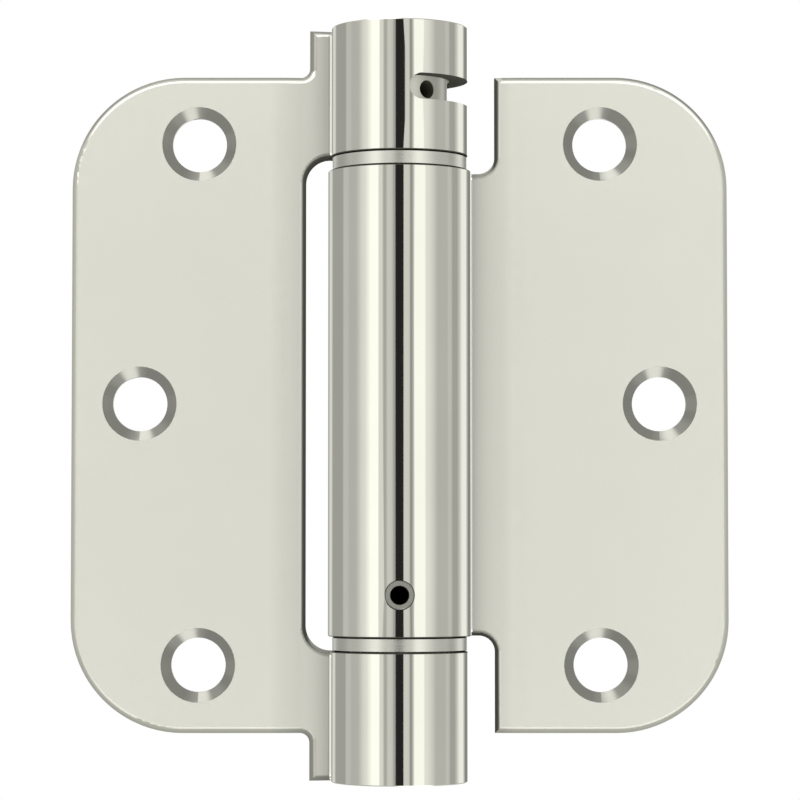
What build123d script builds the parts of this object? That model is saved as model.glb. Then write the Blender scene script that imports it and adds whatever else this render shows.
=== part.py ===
from build123d import *
import os
from math import acos, asin, atan, atan2, cos, degrees, hypot, radians, sin, sqrt, tan

os.makedirs("parts", exist_ok=True)

# An adjustable spring hinge laid open flat. The origin is on the hinge axis at half height, +Z runs
# up the axis, and the countersunk faces of the leaves look along -Y. All sizes are in millimetres.

# The leaves, as seen from the front.
leaf_height = 88.9
open_width = 88.9
corner_radius = 15.2
sheet = 2.5
plate_front_y = 0.8
edge_rounding = 0.85

# The knuckles and the barrel.
overall_height = 101.75
knuckle_radius = 9.2
barrel_radius = 9.66
barrel_length = 62.7
ring_space = 2.05
free_end_angle = 6.0
barrel_end_chamfer = 0.12

# The swage, the double bend that leads from the back of the knuckle to the plate. Outside it the
# plate is bowed a little before it runs flat.
swage_start_x = 3.0
swage_end_x = 10.0
bow_end_x = 17.2
bow_radius = 30.0

# The cut edges beside the barrel.
window_edge_x = 12.75
window_corner = 3.4
tab_edge_x = 12.2
tab_corner = 1.3
neck_edge_x = 12.9
neck_corner = 2.2

# The screw holes. The middle one stands further out than the end ones.
end_screw_x = 27.2
end_screw_z = 35.3
middle_screw_x = 35.2
screw_hole_radius = 3.68
countersink_radius = 5.03
countersink_angle = 82.0

# The slot in the top knuckle and the tension collar behind it.
slot_rise = 8.5
slot_height = 3.5
slot_half_angle = 83.6
pin_hole_count = 5
pin_hole_radius = 1.24
pin_hole_depth = 4.0
first_pin_hole_angle = -54.0
collar_waist_gap = 0.3
collar_waist_length = 6.4
key_socket_across = 5.0
key_socket_depth = 4.5
key_socket_mouth = 6.4
retaining_ring_thickness = 1.5
retaining_ring_inner = 4.4
end_recess = 0.9

# The rings, the bushes and the pivot inside them.
thrust_ring_radius = 9.07
thrust_ring_gap = 0.15
pivot_radius = 4.5
running_clearance = 0.05
ring_clearance = 0.35
upper_bush_length = 8.4
pivot_overrun = 1.0
pivot_end_gap = 1.0
cap_thickness = 3.0
small_chamfer = 0.25

# The anchor plug and its hollow pin.
plug_length = 12.375
pivot_depth = 10.875
anchor_pin_height = 5.6
anchor_pin_radius = 1.91
anchor_pin_bore = 1.25
anchor_pin_clearance = 0.1
anchor_pin_length = 11.0
anchor_pin_recess = 0.15

# The torsion spring, of flat wire on edge, left-hand wound so that winding the collar tightens it.
wire_thickness = 1.2
wire_height = 3.9
coil_gap = 0.3
coil_mean_radius = 5.6
coil_turns = 9
elbow_radius = 2.0
tang_length = 3.0
tang_clearance = 0.15
nose_radius = 3.3
nose_overlap = 1.0

knuckle_bore = knuckle_radius - sheet
barrel_bore = barrel_radius - sheet
half_leaf = leaf_height / 2
half_open = open_width / 2
half_overall = overall_height / 2
half_barrel = barrel_length / 2
knuckle_start_z = half_barrel + ring_space
ring_near_z = half_barrel + thrust_ring_gap
ring_far_z = knuckle_start_z - thrust_ring_gap
slot_z = knuckle_start_z + slot_rise
plate_back_y = plate_front_y + sheet
collar_radius = knuckle_bore - running_clearance
collar_top_z = half_overall - end_recess - retaining_ring_thickness
stem_bottom_z = ring_near_z - upper_bush_length
cap_top_z = end_recess + cap_thickness - half_overall
pivot_bottom_z = cap_top_z + pivot_end_gap
lower_bush_bottom_z = pivot_bottom_z + pivot_overrun
bush_inner = pivot_radius + running_clearance
collar_waist_radius = knuckle_bore - collar_waist_gap
plug_top_z = plug_length - ring_near_z
pivot_top_z = pivot_depth - ring_near_z
anchor_pin_z = anchor_pin_height - half_barrel
anchor_pin_end_y = anchor_pin_recess - barrel_radius + anchor_pin_length
elbow_x = sqrt((coil_mean_radius - elbow_radius) ** 2 - elbow_radius**2)
elbow_angle = degrees(atan(elbow_radius / elbow_x))
coil_pitch = wire_height + coil_gap
coil_angle = 360 * coil_turns - 2 * elbow_angle
bottom_tang_z = plug_top_z + coil_gap + wire_height / 2
top_tang_z = bottom_tang_z + coil_pitch * coil_angle / 360


def disc(radius, low, high):
    """A cylinder on the hinge axis between two heights."""
    return Pos(0, 0, low) * extrude(Circle(radius), high - low)


def tube(outer, inner, low, high):
    """A ring on the hinge axis between two heights."""
    return Pos(0, 0, low) * extrude(Circle(outer) - Circle(inner), high - low)


def rim_edges(shape, radius, heights):
    """The circles of one radius that lie at the given heights."""
    found = []
    for edge in shape.edges().filter_by(GeomType.CIRCLE):
        at_height = any(abs(edge.arc_center.Z - height) < 1e-6 for height in heights)
        if at_height and abs(edge.radius - radius) < 1e-6:
            found.append(edge)
    return found


def plate_section(bore):
    """The plate and its swage in plan on the +X side: one closed face, its front line and its back line.

    The slope where the bow meets the swage follows from the bow's radius. The two bends of the swage
    have one radius, so the slope between them follows from the run and the rise that are left.
    """
    outer = bore + sheet
    slope = asin((bow_end_x - swage_end_x) / bow_radius)
    bow_y = plate_front_y + sheet / 2 + bow_radius * (1 - cos(slope))
    run = swage_end_x - swage_start_x
    rise = bore + sheet / 2 - bow_y
    reach = run * (1 + cos(slope)) + rise * sin(slope)
    steep = atan2(rise, run) + acos(reach / (2 * hypot(run, rise)))
    middle = run / (2 * sin(steep) - sin(slope))
    bends = [
        ((swage_start_x, bore + sheet / 2 - middle), middle, 1, 90 - degrees(steep), degrees(steep)),
        (
            (swage_end_x + middle * sin(slope), bow_y + middle * cos(slope)),
            middle,
            -1,
            270 - degrees(steep),
            degrees(steep - slope),
        ),
        (
            (bow_end_x, plate_front_y + sheet / 2 + bow_radius),
            bow_radius,
            -1,
            270 - degrees(slope),
            degrees(slope),
        ),
    ]
    front = []
    back = []
    for centre, radius, side, start, turn in bends:
        front.append(CenterArc(centre, radius - side * sheet / 2, start, turn))
        back.append(CenterArc(centre, radius + side * sheet / 2, start, turn))
    front.append(Line((bow_end_x, plate_front_y), (half_open, plate_front_y)))
    back.append(Line((bow_end_x, plate_back_y), (half_open, plate_back_y)))
    ends = [
        Line((swage_start_x, bore), (swage_start_x, outer)),
        Line((half_open, plate_front_y), (half_open, plate_back_y)),
    ]
    return make_face(Wire(front + back + ends).edges()), Wire(front), Wire(back)


def knuckle_section(bore):
    """The rolled knuckle in plan, from the swage round the far side to the free end of the roll."""
    outer = bore + sheet
    free_end = radians(free_end_angle)
    roll = 270 + free_end_angle
    inside = [CenterArc((0, 0), bore, 90, roll), Line((0, bore), (swage_start_x, bore))]
    outside = [CenterArc((0, 0), outer, 90, roll), Line((0, outer), (swage_start_x, outer))]
    ends = [
        Line((swage_start_x, bore), (swage_start_x, outer)),
        Line(
            (bore * cos(free_end), bore * sin(free_end)),
            (outer * cos(free_end), outer * sin(free_end)),
        ),
    ]
    return make_face(Wire(inside + outside + ends).edges()), Wire(inside), Wire(outside)


def from_front(outline):
    """A front view outline made into a block that is deeper than the hinge."""
    return extrude(Plane.XZ * outline, 2 * barrel_radius, both=True)


def rectangle(low_x, high_x, low_z, high_z):
    """A rectangle of the front view, by its sides."""
    middle = ((low_x + high_x) / 2, (low_z + high_z) / 2)
    return Pos(*middle) * Rectangle(high_x - low_x, high_z - low_z)


def corners_at(outline, x, heights):
    """The outline's corners at one x and the given heights."""
    found = []
    for corner in outline.vertices():
        if abs(corner.X - x) < 1e-6 and any(abs(corner.Y - z) < 1e-6 for z in heights):
            found.append(corner)
    return found


def door_outline():
    """Front view of the door leaf with its neck, reaching past the barrel on the far side."""
    plate = rectangle(neck_edge_x, half_open, -half_leaf, half_leaf)
    neck = rectangle(-barrel_radius - 1, neck_edge_x, -half_barrel, half_barrel)
    outline = plate + neck
    outer = corners_at(outline, half_open, (half_leaf, -half_leaf))
    outline = fillet(outer, corner_radius)
    inner = corners_at(outline, neck_edge_x, (half_barrel, -half_barrel))
    return fillet(inner, neck_corner)


def frame_outline():
    """Front view of the frame leaf, drawn on the +X side, with its two tabs and the window between.

    The round corners under the tabs stay small against the height of the tabs.
    """
    plate = rectangle(window_edge_x, half_open, -half_leaf, half_leaf)
    outline = plate
    for side in (1, -1):
        low, high = sorted((side * knuckle_start_z, side * half_leaf))
        outline += rectangle(-knuckle_radius - 1, window_edge_x, low, high)
        low, high = sorted((side * half_leaf, side * half_overall))
        outline += rectangle(-knuckle_radius - 1, tab_edge_x, low, high)
    outer = corners_at(outline, half_open, (half_leaf, -half_leaf))
    outline = fillet(outer, corner_radius)
    window = corners_at(outline, window_edge_x, (knuckle_start_z, -knuckle_start_z))
    outline = fillet(window, window_corner)
    tabs = corners_at(outline, tab_edge_x, (half_leaf, -half_leaf))
    tab_height = half_overall - half_leaf
    return fillet(tabs, min(tab_corner, tab_height / 3))


def cut_edges(solid, line):
    """The edges that run along a line of the plan at any height, or cross it where the outline is cut.

    The upright edges at the ends of the line's stretches are left out, apart from the leaf's outer
    edge: they are only where one bend passes into the next.
    """
    joins = [Vector(v.X, v.Y) for v in line.vertices() if v.X < half_open - 1e-6]
    found = []
    for edge in solid.edges():
        middle = edge @ 0.5
        plan = Vector(middle.X, middle.Y)
        if line.distance_to(plan) < 1e-5:
            if all((join - plan).length > 1e-5 for join in joins):
                found.append(edge)
    return found


def blank(outline, bore):
    """One leaf on the +X side, cut to its outline.

    The punch rounds the edges of the sheet's front face, which rolls on into the bore of the knuckle
    as its lead-in. The edges of the back face are only deburred, those at the ends of the roll least.
    """
    shape = from_front(outline)
    face, front, back = plate_section(bore)
    plate = extrude(face, half_overall, both=True) & shape
    plate = fillet(cut_edges(plate, front), edge_rounding)
    plate = chamfer(cut_edges(plate, back), small_chamfer)
    face, inside, outside = knuckle_section(bore)
    knuckle = extrude(face, half_overall, both=True) & shape
    knuckle = chamfer(cut_edges(knuckle, inside), edge_rounding)
    knuckle = chamfer(cut_edges(knuckle, outside), barrel_end_chamfer)
    return plate + knuckle


def screw_hole(x, z):
    """The cutter for one countersunk screw hole, entering from the front."""
    depth = (countersink_radius - screw_hole_radius) / tan(radians(countersink_angle / 2))
    through = extrude(Circle(screw_hole_radius), 2 * sheet, both=True)
    sink = Pos(0, 0, -depth / 2) * Cone(screw_hole_radius, countersink_radius, depth)
    mouth = extrude(Circle(countersink_radius), sheet)
    return Plane((x, plate_front_y, z), z_dir=(0, -1, 0)) * (through + sink + mouth)


def screw_holes(side):
    """The three screw holes of one leaf. Side is 1 for the door leaf and -1 for the frame leaf."""
    holes = [screw_hole(side * middle_screw_x, 0)]
    for z in (end_screw_z, -end_screw_z):
        holes.append(screw_hole(side * end_screw_x, z))
    return holes


def radial(angle, z):
    """The plane on the hinge axis at a height whose normal points outwards at an angle from +X."""
    direction = (cos(radians(angle)), sin(radians(angle)), 0)
    return Plane((0, 0, z), x_dir=(0, 0, 1), z_dir=direction)


def knuckle_slot():
    """The cutter for the long round-ended slot, punched flat and then rolled with the knuckle."""
    middle = knuckle_bore + sheet / 2
    reach = 2 * knuckle_radius
    straight = slot_half_angle - degrees(slot_height / 2 / middle)
    edge = (reach * cos(radians(straight)), reach * sin(radians(straight)))
    far = (reach, edge[1])
    wedge = Polyline((0, 0), edge, far, (reach, -edge[1]), (edge[0], -edge[1]), close=True)
    slot = Pos(0, 0, slot_z) * extrude(make_face(wedge.edges()), slot_height / 2, both=True)
    for angle in (straight, -straight):
        slot += radial(angle, slot_z) * extrude(Circle(slot_height / 2), reach)
    return slot


def door_leaf():
    """The door leaf, with the hole for the anchor pin in the front of its barrel."""
    hole = Circle(anchor_pin_radius + anchor_pin_clearance)
    front = Plane((0, 0, anchor_pin_z), z_dir=(0, -1, 0))
    leaf = blank(door_outline(), barrel_bore) - front * extrude(hole, 2 * barrel_radius)
    for hole in screw_holes(1):
        leaf -= hole
    return leaf


def frame_leaf():
    """The frame leaf, turned over to the -X side, with the slot round the far side of the top knuckle."""
    leaf = mirror(blank(frame_outline(), knuckle_bore), Plane.YZ) - knuckle_slot()
    for hole in screw_holes(-1):
        leaf -= hole
    return leaf


def slotted_nose(shoulder_z, tang_z):
    """A round nose from a shoulder past one end of the spring, with the slot that takes its tang."""
    away = 1 if tang_z > shoulder_z else -1
    end_z = tang_z + away * (wire_height / 2 + nose_overlap)
    floor_z = tang_z - away * (wire_height / 2 + tang_clearance)
    nose = disc(nose_radius, min(shoulder_z, end_z), max(shoulder_z, end_z))
    slot = Box(4 * nose_radius, wire_thickness + 2 * tang_clearance, 2 * abs(end_z - floor_z))
    return nose - Pos(0, 0, end_z) * slot


def tension_collar():
    """The collar: a drum in the top knuckle and a stem that runs through the upper bush to the spring.

    The drum is turned down at the height of the knuckle's slot, so that its pin holes stay clear of
    the bore. Its top has the socket for the key that winds the spring.
    """
    collar = disc(collar_radius, ring_far_z, collar_top_z)
    collar = chamfer(rim_edges(collar, collar_radius, (ring_far_z, collar_top_z)), small_chamfer)
    waist = (slot_z - collar_waist_length / 2, slot_z + collar_waist_length / 2)
    collar -= tube(2 * collar_radius, collar_waist_radius, *waist)
    collar += disc(pivot_radius, stem_bottom_z, ring_far_z)
    collar += slotted_nose(stem_bottom_z, top_tang_z)
    socket = RegularPolygon(key_socket_across / 2, 6, major_radius=False)
    collar -= Pos(0, 0, collar_top_z) * extrude(socket, -key_socket_depth)
    lead_in = (key_socket_mouth - key_socket_across) / 2
    cone = Cone(key_socket_across / 2, key_socket_mouth / 2, lead_in)
    collar -= Pos(0, 0, collar_top_z - lead_in / 2) * cone
    hole = extrude(Circle(pin_hole_radius), pin_hole_depth + running_clearance)
    hole = Pos(0, 0, collar_waist_radius - pin_hole_depth) * hole
    for number in range(pin_hole_count):
        angle = first_pin_hole_angle + number * 360 / pin_hole_count
        collar -= radial(angle, slot_z) * hole
    return collar


def spring_end():
    """The lower end of the spring: a tang across the axis and the elbow that leads it into the coil."""
    tang = Pos((elbow_x - tang_length) / 2, 0) * Rectangle(elbow_x + tang_length, wire_thickness)
    inner = elbow_radius - wire_thickness / 2
    outer = elbow_radius + wire_thickness / 2
    centre = Vector(elbow_x, -elbow_radius)
    end = Vector(cos(radians(elbow_angle)), -sin(radians(elbow_angle)))
    edges = [
        CenterArc(centre, inner, -elbow_angle, 90 + elbow_angle),
        CenterArc(centre, outer, -elbow_angle, 90 + elbow_angle),
        Line(centre + end * inner, centre + end * outer),
        Line((elbow_x, inner - elbow_radius), (elbow_x, outer - elbow_radius)),
    ]
    return extrude(tang + make_face(Wire(edges).edges()), wire_height / 2, both=True)


def coil_turn(angle):
    """A stretch of the coil through an angle, wound left-handed and upwards from +X at height zero."""
    rise = coil_pitch * angle / 360
    corners = []
    for across, up in ((-1, -1), (1, -1), (1, 1), (-1, 1)):
        helix = Helix(coil_pitch, rise, coil_mean_radius + across * wire_thickness / 2, lefthand=True)
        corners.append(Pos(0, 0, up * wire_height / 2) * helix)
    faces = []
    for number, helix in enumerate(corners):
        faces.append(Face.make_surface_from_curves(corners[number - 1], helix))
    for place in (0, 1):
        outline = Polyline([helix @ place for helix in corners], close=True)
        faces.append(make_face(outline.edges()).face())
    return Solid(Shell(faces))


def torsion_spring():
    """The spring: a coil with a tang at each end. The upper end is the lower one turned over."""
    angle = coil_angle / coil_turns
    turn = coil_turn(angle)
    pieces = []
    for number in range(coil_turns):
        rise = number * coil_pitch * angle / 360
        pieces.append(Pos(0, 0, bottom_tang_z + rise) * Rot(0, 0, -elbow_angle - number * angle) * turn)
    pieces.append(Pos(0, 0, bottom_tang_z) * spring_end())
    pieces.append(Pos(0, 0, top_tang_z) * Rot(180, 0, 0) * spring_end())
    return Part() + pieces


def anchor_pin_hole():
    """The cutter for the blind cross hole that the anchor pin fills, open to the front."""
    hole = extrude(Circle(anchor_pin_radius), 2 * barrel_radius)
    return Plane((0, anchor_pin_end_y, anchor_pin_z), z_dir=(0, -1, 0)) * hole


def anchor_plug():
    """The plug pressed into the foot of the barrel, bored from below for the pivot pin."""
    plug = disc(barrel_bore, -ring_near_z, plug_top_z) + slotted_nose(plug_top_z, bottom_tang_z)
    return plug - disc(pivot_radius, -ring_near_z, pivot_top_z) - anchor_pin_hole()


def pivot_pin():
    """The plain pin that carries the barrel in the bottom knuckle."""
    pin = disc(pivot_radius, pivot_bottom_z, pivot_top_z)
    pin = chamfer(rim_edges(pin, pivot_radius, (pivot_bottom_z, pivot_top_z)), small_chamfer)
    return pin - anchor_pin_hole()


def anchor_pin():
    """The hollow pin through barrel, plug and pivot pin. Its front end lies just below the surface."""
    ring = Circle(anchor_pin_radius) - Circle(anchor_pin_bore)
    pin = Plane((0, anchor_pin_end_y, anchor_pin_z), z_dir=(0, -1, 0)) * extrude(ring, anchor_pin_length)
    front_y = anchor_pin_end_y - anchor_pin_length
    front = [edge for edge in pin.edges() if abs(edge.center().Y - front_y) < 1e-6]
    rim = [edge for edge in front if abs(edge.radius - anchor_pin_radius) < 1e-6]
    return chamfer(rim, small_chamfer / 2)


def thrust_ring(low, high):
    """One of the two flat rings that part the barrel from the knuckles."""
    ring = tube(thrust_ring_radius, pivot_radius + ring_clearance, low, high)
    return chamfer(rim_edges(ring, thrust_ring_radius, (low, high)), barrel_end_chamfer / 2)


def collar_retaining_ring():
    """The flat ring pressed into the mouth of the top knuckle, open for the key."""
    high = collar_top_z + retaining_ring_thickness
    ring = tube(knuckle_bore, retaining_ring_inner, collar_top_z, high)
    return chamfer(rim_edges(ring, retaining_ring_inner, (high,)), small_chamfer)


def bottom_cap():
    """The plug that closes the bottom knuckle, slightly inside its mouth."""
    low = cap_top_z - cap_thickness
    cap = disc(knuckle_bore, low, cap_top_z)
    return chamfer(rim_edges(cap, knuckle_bore, (low,)), small_chamfer)


parts = {
    "frame_leaf": frame_leaf(),
    "door_leaf": door_leaf(),
    "tension_collar": tension_collar(),
    "collar_retaining_ring": collar_retaining_ring(),
    "upper_thrust_ring": thrust_ring(ring_near_z, ring_far_z),
    "lower_thrust_ring": thrust_ring(-ring_far_z, -ring_near_z),
    "upper_bush": tube(barrel_bore, bush_inner, stem_bottom_z, ring_near_z),
    "lower_bush": tube(knuckle_bore, bush_inner, lower_bush_bottom_z, -ring_far_z),
    "torsion_spring": torsion_spring(),
    "anchor_plug": anchor_plug(),
    "anchor_pin": anchor_pin(),
    "pivot_pin": pivot_pin(),
    "bottom_cap": bottom_cap(),
}
for name, shape in parts.items():
    export_step(shape, f"parts/{name}.step")
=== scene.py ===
import bpy
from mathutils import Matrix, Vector

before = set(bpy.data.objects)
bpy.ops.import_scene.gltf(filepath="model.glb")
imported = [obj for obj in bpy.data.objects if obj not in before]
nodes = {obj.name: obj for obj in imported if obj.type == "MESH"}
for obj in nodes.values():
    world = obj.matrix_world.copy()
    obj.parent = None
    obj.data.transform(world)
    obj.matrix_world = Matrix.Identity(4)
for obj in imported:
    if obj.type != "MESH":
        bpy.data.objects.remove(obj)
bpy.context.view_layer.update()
print("frame loaded:", len(nodes), "nodes")

mm = 0.001


# small helpers for node trees

def put(tree, kind, **settings):
    made = tree.nodes.new(kind)
    for key, value in settings.items():
        setattr(made, key, value)
    return made


def feed(tree, socket, value):
    # a socket takes either another socket or a plain value
    if isinstance(value, bpy.types.NodeSocket):
        tree.links.new(value, socket)
    elif value is not None:
        socket.default_value = value


def calc(tree, operation, first, second=None, clamp=False):
    made = put(tree, "ShaderNodeMath", operation=operation, use_clamp=clamp)
    feed(tree, made.inputs[0], first)
    feed(tree, made.inputs[1], second)
    return made.outputs[0]


def times(tree, first, *others):
    for other in others:
        first = calc(tree, "MULTIPLY", first, other)
    return first


def without(tree, share):
    return calc(tree, "SUBTRACT", 1.0, share)


def size(tree, value):
    return calc(tree, "ABSOLUTE", value)


def lengthOf(tree, first, second):
    # length of a flat vector with these two parts
    flat = put(tree, "ShaderNodeCombineXYZ")
    feed(tree, flat.inputs[0], first)
    feed(tree, flat.inputs[1], second)
    away = put(tree, "ShaderNodeVectorMath", operation="LENGTH")
    feed(tree, away.inputs[0], flat.outputs[0])
    return away.outputs["Value"]


def fade(tree, value, low, high, toLow=0.0, toHigh=1.0):
    # eases from toLow to toHigh while value goes from low to high
    made = put(tree, "ShaderNodeMapRange", interpolation_type="SMOOTHSTEP")
    for name, item in (("Value", value), ("From Min", low), ("From Max", high),
                       ("To Min", toLow), ("To Max", toHigh)):
        feed(tree, made.inputs[name], item)
    return made.outputs["Result"]


def fadeFast(tree, value, low, high, power, toLow=0.0):
    # goes from toLow to 1 while value goes from low to high, fastest at first with a power below 1
    share = put(tree, "ShaderNodeMapRange")
    for name, item in (("Value", value), ("From Min", low), ("From Max", high)):
        feed(tree, share.inputs[name], item)
    eased = calc(tree, "POWER", share.outputs["Result"], power)
    return calc(tree, "ADD", times(tree, eased, 1.0 - toLow), toLow)


def blendColor(tree, amount, first, second):
    made = put(tree, "ShaderNodeMix", data_type="RGBA")
    feed(tree, made.inputs[0], amount)
    for socket, value in ((made.inputs[6], first), (made.inputs[7], second)):
        if isinstance(value, tuple):
            value = (*value, 1)
        feed(tree, socket, value)
    return made.outputs[2]


def blendValue(tree, amount, first, second):
    made = put(tree, "ShaderNodeMix", data_type="FLOAT")
    feed(tree, made.inputs[0], amount)
    feed(tree, made.inputs[2], first)
    feed(tree, made.inputs[3], second)
    return made.outputs[0]


def dim(tree, color, level):
    # the colour times a plain value
    made = put(tree, "ShaderNodeMix", data_type="RGBA", blend_type="MULTIPLY")
    made.inputs[0].default_value = 1.0
    feed(tree, made.inputs[6], color)
    grey = put(tree, "ShaderNodeCombineXYZ")
    for socket in grey.inputs:
        feed(tree, socket, level)
    feed(tree, made.inputs[7], grey.outputs[0])
    return made.outputs[2]


def grain(tree, place, scale, detail, stretch=(1, 1, 1)):
    # noise on object coordinates, centred on 0.5
    mapping = put(tree, "ShaderNodeMapping")
    feed(tree, mapping.inputs["Vector"], place)
    mapping.inputs["Scale"].default_value = stretch
    noise = put(tree, "ShaderNodeTexNoise")
    feed(tree, noise.inputs["Vector"], mapping.outputs[0])
    noise.inputs["Scale"].default_value = scale
    noise.inputs["Detail"].default_value = detail
    return noise.outputs["Fac"]


noiseMiddle = (0.3, 0.7)  # most of a noise lies between these


def spread(tree, noise, low=0.0, high=1.0):
    # the middle of a noise's range, spread from low to high
    return fade(tree, noise, *noiseMiddle, low, high)


def bump(tree, height, strength, distance):
    made = put(tree, "ShaderNodeBump")
    made.inputs["Strength"].default_value = strength
    made.inputs["Distance"].default_value = distance
    feed(tree, made.inputs["Height"], height)
    return made.outputs["Normal"]


def newMaterial(name):
    material = bpy.data.materials.new(name)
    material.use_nodes = True
    tree = material.node_tree
    shader = tree.nodes["Principled BSDF"]
    place = put(tree, "ShaderNodeTexCoord").outputs["Object"]
    parts = put(tree, "ShaderNodeSeparateXYZ")
    feed(tree, parts.inputs[0], place)
    return material, tree, shader, place, parts.outputs


def facingParts(tree):
    # the surface's own direction, as x, y and z
    facing = put(tree, "ShaderNodeSeparateXYZ")
    feed(tree, facing.inputs[0], put(tree, "ShaderNodeTexCoord").outputs["Normal"])
    return facing.outputs


def dress(names, material):
    for name in names:
        piece = nodes[name]
        piece.data.materials.clear()
        piece.data.materials.append(material)


# painted shade: narrow gaps and deep holes go dark in the colour, by ambient occlusion

paintedHollowShade = {"reach": 2.5 * mm, "samples": 8, "openness": (0.12, 0.5), "dark": 0.06}


def paintHollowShade(tree, color):
    shade = put(tree, "ShaderNodeAmbientOcclusion", samples=paintedHollowShade["samples"])
    shade.inputs["Distance"].default_value = paintedHollowShade["reach"]
    openness = fade(tree, shade.outputs["AO"], *paintedHollowShade["openness"])
    return dim(tree, color, blendValue(tree, openness, paintedHollowShade["dark"], 1.0))


# camera: level with the lower part of the hinge, aimed at its middle

camera = {
    "distance": 434 * mm, "height": -20.0 * mm, "side": 0.05 * mm, "aimHeight": 0.45 * mm,
    "lens": 144.8, "sensor": 36, "clipStart": 10 * mm,
}


def addCamera(values):
    data = bpy.data.cameras.new("camera")
    data.lens = values["lens"]
    data.sensor_width = values["sensor"]
    data.clip_start = values["clipStart"]
    item = bpy.data.objects.new("camera", data)
    bpy.context.scene.collection.objects.link(item)
    item.location = (values["side"], -values["distance"], values["height"])
    aim = Vector((values["side"], 0, values["aimHeight"])) - item.location
    item.rotation_euler = aim.to_track_quat("-Z", "Y").to_euler()
    bpy.context.scene.camera = item


addCamera(camera)
bpy.context.scene.view_settings.view_transform = "Standard"
print("camera set")


# studio: upright light panels and cards all round, a bright sky and ground, and white for the camera

studio = {
    "plain": 0.55,  # level where there is no panel
    "panels": (  # name, from and to degrees round from the front, softness at each side, level
        ("leftRear", -180, -160, 0, 8, 0.45),
        ("leftRearStrip", -154, -143, 3, 3, 0.80),
        ("leftFlag", -136, -106, 3, 6, 0.41),
        ("leftSide", -100, -97, 4, 7, 0.60),
        ("leftWall", -88, -80, 4, 22, 0.53),
        ("leftBankFoot", -58, -54, 18, 4, 0.86),
        ("leftBank", -47, -34.5, 12, 1.5, 1.24),
        ("leftBankEdge", -33, -29, 1.5, 3, 0.82),
        ("leftGap", -25, -23.3, 2, 3, 0.46),
        ("leftFront", -19, -16, 2, 7, 0.69),
        ("leftFrontEdge", -9, -7, 3, 1, 0.42),
        ("darkCard", -6.4, 6.1, 0.8, 0.8, 0.02),
        ("rightFront", 7.1, 14.6, 1, 2, 0.73),
        ("rightGap", 17.7, 19.8, 1.5, 2, 0.34),
        ("rightBank", 25.2, 40.5, 3, 5, 1.18),
        ("rightBankEdge", 43.5, 44, 2, 22, 0.90),
        ("rightWall", 66, 82, 8, 3, 0.54),
        ("rightSide", 86, 88, 2, 3, 0.62),
        ("rightFlag", 95, 106, 3, 4, 0.43),
        ("rightStrip", 122, 135, 12, 3, 1.02),
        ("rightRearFlag", 145, 161, 5, 4, 0.28),
        ("rightRear", 168, 180, 5, 0, 1.30),
    ),
    "panelGain": 0.93,
    "skies": (  # name, up or down, level, degrees where it comes in and where it dims again
        ("sky", 1, 1.63, (12, 20), (30, 50)),
        ("ground", -1, 1.81, (8, 16), (30, 50)),
    ),
    "dimmed": 0.72,  # level of sky and ground where they have dimmed
    "asideDegrees": (31, 49), "asideShare": 0.42,  # what is left of their level to the sides
    "frontShare": (0.0, 0.2), "rear": 0.44,  # where the front begins, and their level behind it
    "spots": (  # for the countersinks: name, direction, inner and outer cosine, level
        ("overheadGlow", (-0.34, 0.13, 0.93), 0.93, 0.76, 0.62),
        ("overheadBox", (-0.22, 0.19, 0.96), 0.992, 0.962, 1.75),
        ("underGlow", (0.34, 0.14, -0.93), 0.93, 0.76, 0.62),
        ("underBounce", (0.24, 0.09, -0.96), 0.988, 0.945, 1.65),
    ),
    "tint": (1.0, 1.0, 0.95),
}


def studioLevel(tree, direction, values):
    parts = put(tree, "ShaderNodeSeparateXYZ")
    feed(tree, parts.inputs[0], direction)
    x, y, z = parts.outputs
    front = times(tree, y, -1.0)
    compass = calc(tree, "DEGREES", calc(tree, "ARCTAN2", x, front))
    upward = calc(tree, "DEGREES", calc(tree, "ARCSINE", z))
    level = values["plain"]
    for name, start, end, softStart, softEnd, brightness in values["panels"]:
        rise = fade(tree, compass, start - softStart, start) if start > -180 else 1.0
        fall = fade(tree, compass, end, end + softEnd, 1.0, 0.0) if end < 180 else 1.0
        level = blendValue(tree, times(tree, rise, fall), level, brightness * values["panelGain"])
        level.node.label = name
    inFront = fade(tree, front, *values["frontShare"])
    aside = fade(tree, size(tree, compass), *values["asideDegrees"], 1.0, values["asideShare"])
    for name, way, brightness, comesIn, dimsAgain in values["skies"]:
        height = times(tree, upward, way)
        dome = blendValue(tree, fade(tree, height, *dimsAgain),
                          times(tree, aside, brightness), values["dimmed"])
        dome = blendValue(tree, inFront, values["rear"], dome)
        level = blendValue(tree, fade(tree, height, *comesIn), level, dome)
        level.node.label = name
    for name, toward, inner, outer, brightness in values["spots"]:
        dot = put(tree, "ShaderNodeVectorMath", operation="DOT_PRODUCT")
        feed(tree, dot.inputs[0], direction)
        dot.inputs[1].default_value = Vector(toward).normalized()
        near = fade(tree, dot.outputs["Value"], outer, inner)
        level = blendValue(tree, near, level, brightness)
        level.node.label = name
    return level


def buildStudio(values):
    world = bpy.data.worlds.new("studio")
    bpy.context.scene.world = world
    world.use_nodes = True
    tree = world.node_tree
    tree.nodes.clear()
    direction = put(tree, "ShaderNodeTexCoord").outputs["Generated"]
    light = put(tree, "ShaderNodeBackground")
    light.inputs["Color"].default_value = (*values["tint"], 1)
    feed(tree, light.inputs["Strength"], studioLevel(tree, direction, values))
    white = put(tree, "ShaderNodeBackground")
    white.inputs["Color"].default_value = (1, 1, 1, 1)
    white.inputs["Strength"].default_value = 1.0
    choose = put(tree, "ShaderNodeMixShader")
    feed(tree, choose.inputs[0], put(tree, "ShaderNodeLightPath").outputs["Is Camera Ray"])
    feed(tree, choose.inputs[1], light.outputs[0])
    feed(tree, choose.inputs[2], white.outputs[0])
    out = put(tree, "ShaderNodeOutputWorld")
    feed(tree, out.inputs[0], choose.outputs[0])


buildStudio(studio)
print("studio lit")


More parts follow.
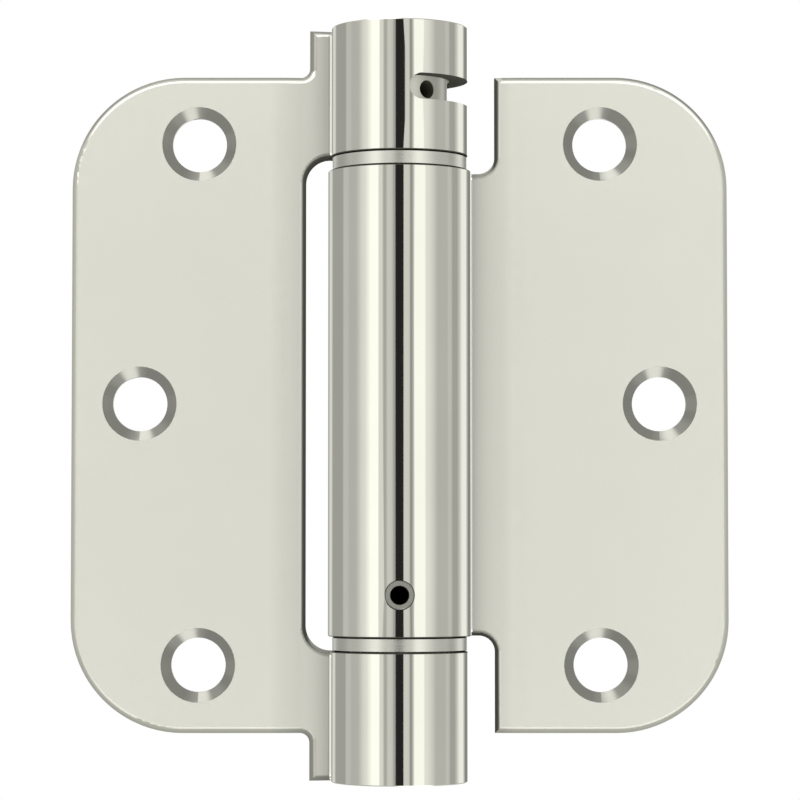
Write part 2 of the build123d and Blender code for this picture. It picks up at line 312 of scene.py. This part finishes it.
# floor: a pale round table below the hinge that fades out into the backdrop

floor = {
    "height": -75 * mm, "radius": 200 * mm, "sides": 96,
    "color": (0.86, 0.86, 0.86), "roughness": 0.9,
    "fadeShares": (0.4, 0.98),  # of the radius
}


def addFloor(values):
    bpy.ops.mesh.primitive_circle_add(vertices=values["sides"], radius=values["radius"],
                                      fill_type="NGON", location=(0, 0, values["height"]))
    item = bpy.context.object
    item.name = "floor"
    material, tree, shader, place, parts = newMaterial("paleFloor")
    shader.inputs["Base Color"].default_value = (*values["color"], 1)
    shader.inputs["Roughness"].default_value = values["roughness"]
    shader.inputs["Specular IOR Level"].default_value = 0.0
    reach = put(tree, "ShaderNodeVectorMath", operation="LENGTH")
    feed(tree, reach.inputs[0], place)
    near, far = (share * values["radius"] for share in values["fadeShares"])
    feed(tree, shader.inputs["Alpha"], fade(tree, reach.outputs["Value"], near, far, 1.0, 0.0))
    item.data.materials.append(material)
    item.visible_glossy = False


addFloor(floor)
print("floor laid")


# nickel plate: satin leaves, mirror-polished barrel and knuckles, turned countersinks, with painted
# shade and a painted highlight line beside the rolls

nickel = {  # a pair is where something starts and where it is full
    # polished barrel and knuckles
    "color": (0.87, 0.87, 0.81), "cloudColor": (0.85, 0.85, 0.79),
    "cloudScale": 90, "cloudDetail": 3,
    "polishedRoughness": 0.05, "polishedSpread": 0.01,
    "polishLines": 900, "polishDetail": 2, "polishStretch": (1, 1, 0.02), "rollMargin": 0.05 * mm,
    # satin leaves, with painted shade darker towards the barrel and the top
    "satinColor": (0.98, 0.98, 0.915), "satinCloud": (0.97, 0.97, 0.905),
    "satinRoughness": 0.40, "satinSpread": 0.03, "satinEdge": 0.1 * mm,
    "satinGrain": 5200, "grainDetail": 4, "grainStrength": 0.05, "grainDepth": 0.01 * mm,
    "leafTop": 44 * mm, "topShade": 0.925,
    "shadeFrom": 10.1 * mm, "shadeDepth": 0.58, "shadePower": 0.85,
    # rounded front edges, bright where they look up, painted shade elsewhere, a lean of 0 on the flat
    # and 1 on the side
    "leanLeast": 0.02, "upFacing": (0.3, 0.65),
    "brightLean": (0.05, 0.12), "brightRoughness": 0.10,
    "shearLean": (0.50, 0.62), "shearPaintedShade": 0.52, "shearRoughness": 0.5,
    "flatFrom": 17.4 * mm, "rimFacing": 0.32, "rimPower": 0.5, "sideFacing": (0.3, 0.45),
    "rimShade": 0.74, "rimLean": (0.1, 0.4), "rimRoughness": 0.8,
    # countersinks, darker in colour as painted shade
    "screwHoles": ((27.2 * mm, 35.3 * mm), (35.2 * mm, 0.0), (27.2 * mm, -35.3 * mm)),
    "sinkRadius": 5.05 * mm, "sinkFrom": 0.81 * mm,
    "sinkShadeColor": (0.46, 0.46, 0.43), "sinkRoughness": 0.20,
    # painted shade on the sheared edges beside the barrel, the slot's ceiling and the ends of the
    # rolls
    "cutReach": 0.95 * mm, "cutFacing": (0.3, 0.62), "skyFacing": (0.25, 0.6), "skyShare": 0.2,
    "endFacing": (0.4, 0.6), "innerEnds": 40.0 * mm,
    "slotCeiling": 43.65 * mm, "ceilingMargin": 0.05 * mm, "ceilingFacing": (-0.8, -0.4),
    "cutShadeColor": (0.10, 0.10, 0.088), "cutRoughness": 0.42,
}
# the glint colour is a painted highlight: the strip where the leaf leaves its roll is coloured as a
# bright line
window = {  # the gap in the frame leaf, and the knuckles' roll with the line where the leaf leaves it
    "halfWidth": 12.75 * mm, "height": 33.4 * mm, "corner": 3.4 * mm, "beyond": False,
    "rollRadius": 9.2 * mm, "shadeTo": 17.6 * mm,
    "glintWidth": 0.40 * mm, "glintColor": (0.80, 0.80, 0.75), "glintRoughness": 0.05,
}
notch = {  # the gaps above and below the door leaf's neck, and the barrel's roll
    "halfWidth": 12.9 * mm, "height": 31.35 * mm, "corner": 2.2 * mm, "beyond": True,
    "rollRadius": 9.66 * mm, "shadeTo": 15.3 * mm,
    "glintWidth": 0.27 * mm, "glintColor": (0.99, 0.99, 0.94), "glintRoughness": 0.2,
}
tiny = 0.0001  # keeps a division from going by nothing


def nearestHole(tree, across, z, holes):
    # distance to the closest screw hole's axis, in the plane of the leaf
    nearest = None
    for holeX, holeZ in holes:
        away = lengthOf(tree, calc(tree, "SUBTRACT", across, holeX), calc(tree, "SUBTRACT", z, holeZ))
        nearest = away if nearest is None else calc(tree, "MINIMUM", nearest, away)
    return nearest


def innerEdges(tree, x, z, facing, gap, values):
    # the sheared edges that look into the round-cornered gap, where shade is painted, less where they
    # look up, and all of the strip beside the gap
    across, tall = size(tree, x), size(tree, z)
    outX = calc(tree, "SUBTRACT", across, gap["halfWidth"] - gap["corner"])
    if gap["beyond"]:
        outZ = calc(tree, "SUBTRACT", gap["height"] + gap["corner"], tall)
        way = -1.0
    else:
        outZ = calc(tree, "SUBTRACT", tall, gap["height"] - gap["corner"])
        way = 1.0
    outX, outZ = calc(tree, "MAXIMUM", outX, 0.0), calc(tree, "MAXIMUM", outZ, 0.0)
    away = lengthOf(tree, outX, outZ)
    near = calc(tree, "LESS_THAN", away, gap["corner"] + values["cutReach"])
    outward = calc(tree, "ADD",
                   times(tree, facing[0], calc(tree, "SIGN", x), outX),
                   times(tree, facing[2], calc(tree, "SIGN", z), way, outZ))
    inward = calc(tree, "DIVIDE", outward, times(tree, calc(tree, "MAXIMUM", away, tiny), -1.0))
    cut = times(tree, fade(tree, inward, *values["cutFacing"]), near,
                fade(tree, facing[2], *values["skyFacing"], 1.0, values["skyShare"]))
    return cut, near


def cutFaces(tree, z, facing, onRoll, inGap, values):
    # the edges the punch and the shears left dull, the ends of the rolls and the slot's ceiling, all
    # darkened in colour as painted shade
    sheared = times(tree, inGap, without(tree, onRoll))
    endFace = times(tree, fade(tree, size(tree, facing[2]), *values["endFacing"]), onRoll,
                    calc(tree, "LESS_THAN", size(tree, z), values["innerEnds"]))
    fromCeiling = size(tree, calc(tree, "SUBTRACT", z, values["slotCeiling"]))
    ceiling = times(tree, fade(tree, facing[2], *values["ceilingFacing"], 1.0, 0.0),
                    calc(tree, "LESS_THAN", fromCeiling, values["ceilingMargin"]))
    return calc(tree, "MAXIMUM", sheared, calc(tree, "MAXIMUM", endFace, ceiling))


def frontEdges(tree, across, facing, nearGap, values):
    # how far the surface leans out of the leaf's plane, and where its rounded edges are bright, have a
    # sheared band with painted shade, or have painted shade all round
    flat = times(tree, facing[1], facing[1])
    lean = calc(tree, "SQRT", calc(tree, "SUBTRACT", 1.0, flat, clamp=True))
    steep = calc(tree, "DIVIDE", facing[2], calc(tree, "MAXIMUM", lean, values["leanLeast"]))
    upward = fade(tree, steep, *values["upFacing"])
    onTop = times(tree, upward, without(tree, nearGap))
    bright = times(tree, fade(tree, lean, *values["brightLean"]), onTop)
    shear = times(tree, fade(tree, lean, *values["shearLean"]), onTop)
    sideways = size(tree, facing[0])
    outside = times(tree, sideways, calc(tree, "GREATER_THAN", across, values["flatFrom"]))
    rim = fadeFast(tree, calc(tree, "MAXIMUM", size(tree, facing[2]), outside),
                   0.0, values["rimFacing"], values["rimPower"])
    rim = calc(tree, "MAXIMUM", rim, fade(tree, sideways, *values["sideFacing"]))
    return lean, bright, shear, times(tree, rim, without(tree, upward))


def nickelPlate(name, values, gap):
    material, tree, shader, place, (x, y, z) = newMaterial(name)
    across, reach, facing = size(tree, x), lengthOf(tree, x, y), facingParts(tree)
    onRoll = calc(tree, "LESS_THAN", reach, gap["rollRadius"] + values["rollMargin"])
    glintEnd = gap["rollRadius"] + gap["glintWidth"]
    satin = fade(tree, reach, glintEnd, glintEnd + values["satinEdge"])
    fromHole = nearestHole(tree, across, z, values["screwHoles"])
    sink = times(tree, calc(tree, "LESS_THAN", fromHole, values["sinkRadius"]),
                 calc(tree, "GREATER_THAN", y, values["sinkFrom"]))
    inGap, nearGap = innerEdges(tree, x, z, facing, gap, values)
    cut = cutFaces(tree, z, facing, onRoll, inGap, values)
    lean, bright, shear, rim = frontEdges(tree, across, facing, nearGap, values)

    cloud = spread(tree, grain(tree, place, values["cloudScale"], values["cloudDetail"]))
    plate = blendColor(tree, cloud, values["satinCloud"], values["satinColor"])
    # painted shade: the plate darkens towards the barrel, except on its bright top edges, and towards
    # the top
    barrelShade = fadeFast(tree, across, values["shadeFrom"], gap["shadeTo"],
                          values["shadePower"], values["shadeDepth"])
    topShade = fade(tree, z, -values["leafTop"], values["leafTop"], 1.0, values["topShade"])
    plate = dim(tree, plate, blendValue(tree, bright, barrelShade, 1.0))
    plate = dim(tree, plate, topShade)
    # painted shade round the rims and on the sheared band of the top edges
    plate = dim(tree, plate, blendValue(tree, rim, 1.0, values["rimShade"]))
    plate = dim(tree, plate, blendValue(tree, shear, 1.0, values["shearPaintedShade"]))
    roll = blendColor(tree, cloud, values["cloudColor"], values["color"])
    # painted highlight: the strip where the leaf leaves the roll takes the glint colour
    roll = blendColor(tree, onRoll, gap["glintColor"], roll)
    color = blendColor(tree, satin, roll, plate)
    # painted shade: the countersinks take a darker colour
    color = blendColor(tree, sink, color, values["sinkShadeColor"])
    # painted shade: the cut edges, roll ends and slot ceiling take a dark colour and lose their metal
    color = blendColor(tree, cut, color, values["cutShadeColor"])
    # painted shade: narrow gaps and deep holes darken in colour by ambient occlusion
    feed(tree, shader.inputs["Base Color"], paintHollowShade(tree, color))
    feed(tree, shader.inputs["Metallic"], without(tree, cut))
    shader.inputs["Specular IOR Level"].default_value = 0.0

    fine = grain(tree, place, values["satinGrain"], values["grainDetail"])
    rough, vary = values["satinRoughness"], values["satinSpread"]
    onPlate = spread(tree, fine, rough - vary, rough + vary)
    onPlate = blendValue(tree, fade(tree, lean, *values["rimLean"]), onPlate, values["rimRoughness"])
    onPlate = blendValue(tree, bright, onPlate, values["brightRoughness"])
    onPlate = blendValue(tree, shear, onPlate, values["shearRoughness"])
    lines = grain(tree, place, values["polishLines"], values["polishDetail"], values["polishStretch"])
    rough, vary = values["polishedRoughness"], values["polishedSpread"]
    polished = spread(tree, lines, rough - vary, rough + vary)
    polished = blendValue(tree, onRoll, gap["glintRoughness"], polished)
    rough = blendValue(tree, satin, polished, onPlate)
    rough = blendValue(tree, sink, rough, values["sinkRoughness"])
    rough = blendValue(tree, cut, rough, values["cutRoughness"])
    feed(tree, shader.inputs["Roughness"], rough)
    feed(tree, shader.inputs["Normal"],
         bump(tree, times(tree, fine, satin), values["grainStrength"], values["grainDepth"]))
    return material


dress(("frame_leaf",), nickelPlate("frameLeafNickel", nickel, window))
dress(("door_leaf",), nickelPlate("doorLeafNickel", nickel, notch))
print("nickel plate done")


# turned steel: rings, collar, plugs, pins and the spring, with painted shade in their holes and narrow
# gaps

# painted shade: the dark colour of the collar's holes, the anchor pin's hollow and the ring ends in
# the gaps
paintedBoreShade = {
    "color": (0.11, 0.11, 0.085),
    "pinHoleHeight": 41.9 * mm, "pinHoleRadius": 1.3 * mm, "waistSurface": 6.15 * mm,
    "anchorHeight": -25.75 * mm, "anchorRadius": 1.3 * mm,
    "innerEnds": 40.0 * mm, "endFacing": (0.4, 0.6),
}


def shadedPinHoles(tree, x, y, z, values):
    # painted shade on the walls of the collar's holes, a little below its surface
    level = size(tree, calc(tree, "SUBTRACT", z, values["pinHoleHeight"]))
    below = calc(tree, "LESS_THAN", lengthOf(tree, x, y), values["waistSurface"])
    return times(tree, calc(tree, "LESS_THAN", level, values["pinHoleRadius"]), below)


def shadedAnchorBore(tree, x, y, z, values):
    # painted shade in the hollow of the anchor pin and what closes it
    away = lengthOf(tree, x, calc(tree, "SUBTRACT", z, values["anchorHeight"]))
    return calc(tree, "LESS_THAN", away, values["anchorRadius"])


def shadedRingEnds(tree, x, y, z, values):
    # the flat ends of the thrust rings, darkened as painted shade in the narrow gaps
    inGaps = calc(tree, "LESS_THAN", size(tree, z), values["innerEnds"])
    return times(tree, inGaps, fade(tree, size(tree, facingParts(tree)[2]), *values["endFacing"]))


turned = {
    "cloudScale": 120, "cloudDetail": 3, "cloudShade": 0.92,
    "roughnessSpread": 0.01, "lineDetail": 2, "lineStrength": 0.15,
    # the dark part marks where shade is painted into the colour
    "metals": (  # name, colour, roughness, scale and depth of the turned lines, dark part, nodes
        ("turnedRingSteel", (0.83, 0.83, 0.78), 0.27, 4000, 0.00003 * mm, shadedRingEnds,
         ("upper_thrust_ring", "lower_thrust_ring", "collar_retaining_ring", "bottom_cap")),
        ("turnedCollarSteel", (0.60, 0.60, 0.55), 0.36, 3500, 0.004 * mm, shadedPinHoles,
         ("tension_collar", "anchor_plug")),
        ("plainPinSteel", (0.42, 0.42, 0.39), 0.38, 3000, 0.004 * mm, shadedAnchorBore,
         ("anchor_pin", "pivot_pin")),
        ("oilTemperedSpring", (0.10, 0.10, 0.11), 0.38, 2500, 0.004 * mm, None,
         ("torsion_spring",)),
    ),
}


def turnedSteel(name, color, roughness, lineScale, lineDepth, hollow, values):
    material, tree, shader, place, (x, y, z) = newMaterial(name)
    section = put(tree, "ShaderNodeCombineXYZ")
    feed(tree, section.inputs[0], lengthOf(tree, x, y))
    feed(tree, section.inputs[1], z)
    lines = grain(tree, section.outputs[0], lineScale, values["lineDetail"])
    cloud = spread(tree, grain(tree, place, values["cloudScale"], values["cloudDetail"]))
    shaded = tuple(values["cloudShade"] * part for part in color)
    # painted shade: narrow gaps and deep holes darken in colour by ambient occlusion
    tone = paintHollowShade(tree, blendColor(tree, cloud, shaded, color))
    shader.inputs["Metallic"].default_value = 1.0
    shader.inputs["Specular IOR Level"].default_value = 0.0
    # painted shade in the holes and narrow gaps
    if hollow:
        dark = hollow(tree, x, y, z, paintedBoreShade)
        tone = blendColor(tree, dark, tone, paintedBoreShade["color"])
        feed(tree, shader.inputs["Metallic"], without(tree, dark))
    feed(tree, shader.inputs["Base Color"], tone)
    vary = values["roughnessSpread"]
    feed(tree, shader.inputs["Roughness"], spread(tree, lines, roughness - vary, roughness + vary))
    feed(tree, shader.inputs["Normal"], bump(tree, lines, values["lineStrength"], lineDepth))
    return material


for *finish, wearers in turned["metals"]:
    dress(wearers, turnedSteel(*finish, turned))
print("turned steel done")


# nylon bushes

nylon = {
    "color": (0.80, 0.78, 0.71), "cloudColor": (0.74, 0.72, 0.65),
    "cloudScale": 400, "cloudDetail": 3,
    "roughness": (0.45, 0.6), "subsurface": 0.1, "subsurfaceScale": 0.5 * mm,
    "bumpStrength": 0.1, "bumpDepth": 0.01 * mm,
}


def bushNylon(values):
    material, tree, shader, place, parts = newMaterial("bushNylon")
    cloud = grain(tree, place, values["cloudScale"], values["cloudDetail"])
    tone = blendColor(tree, spread(tree, cloud), values["cloudColor"], values["color"])
    feed(tree, shader.inputs["Base Color"], tone)
    feed(tree, shader.inputs["Roughness"], spread(tree, cloud, *values["roughness"]))
    shader.inputs["Subsurface Weight"].default_value = values["subsurface"]
    shader.inputs["Subsurface Scale"].default_value = values["subsurfaceScale"]
    feed(tree, shader.inputs["Normal"], bump(tree, cloud, values["bumpStrength"], values["bumpDepth"]))
    return material


dress(("upper_bush", "lower_bush"), bushNylon(nylon))
print("nylon done")

# polished metal mirrors the studio and not the hinge itself, as in the photograph
for piece in nodes.values():
    piece.visible_glossy = False
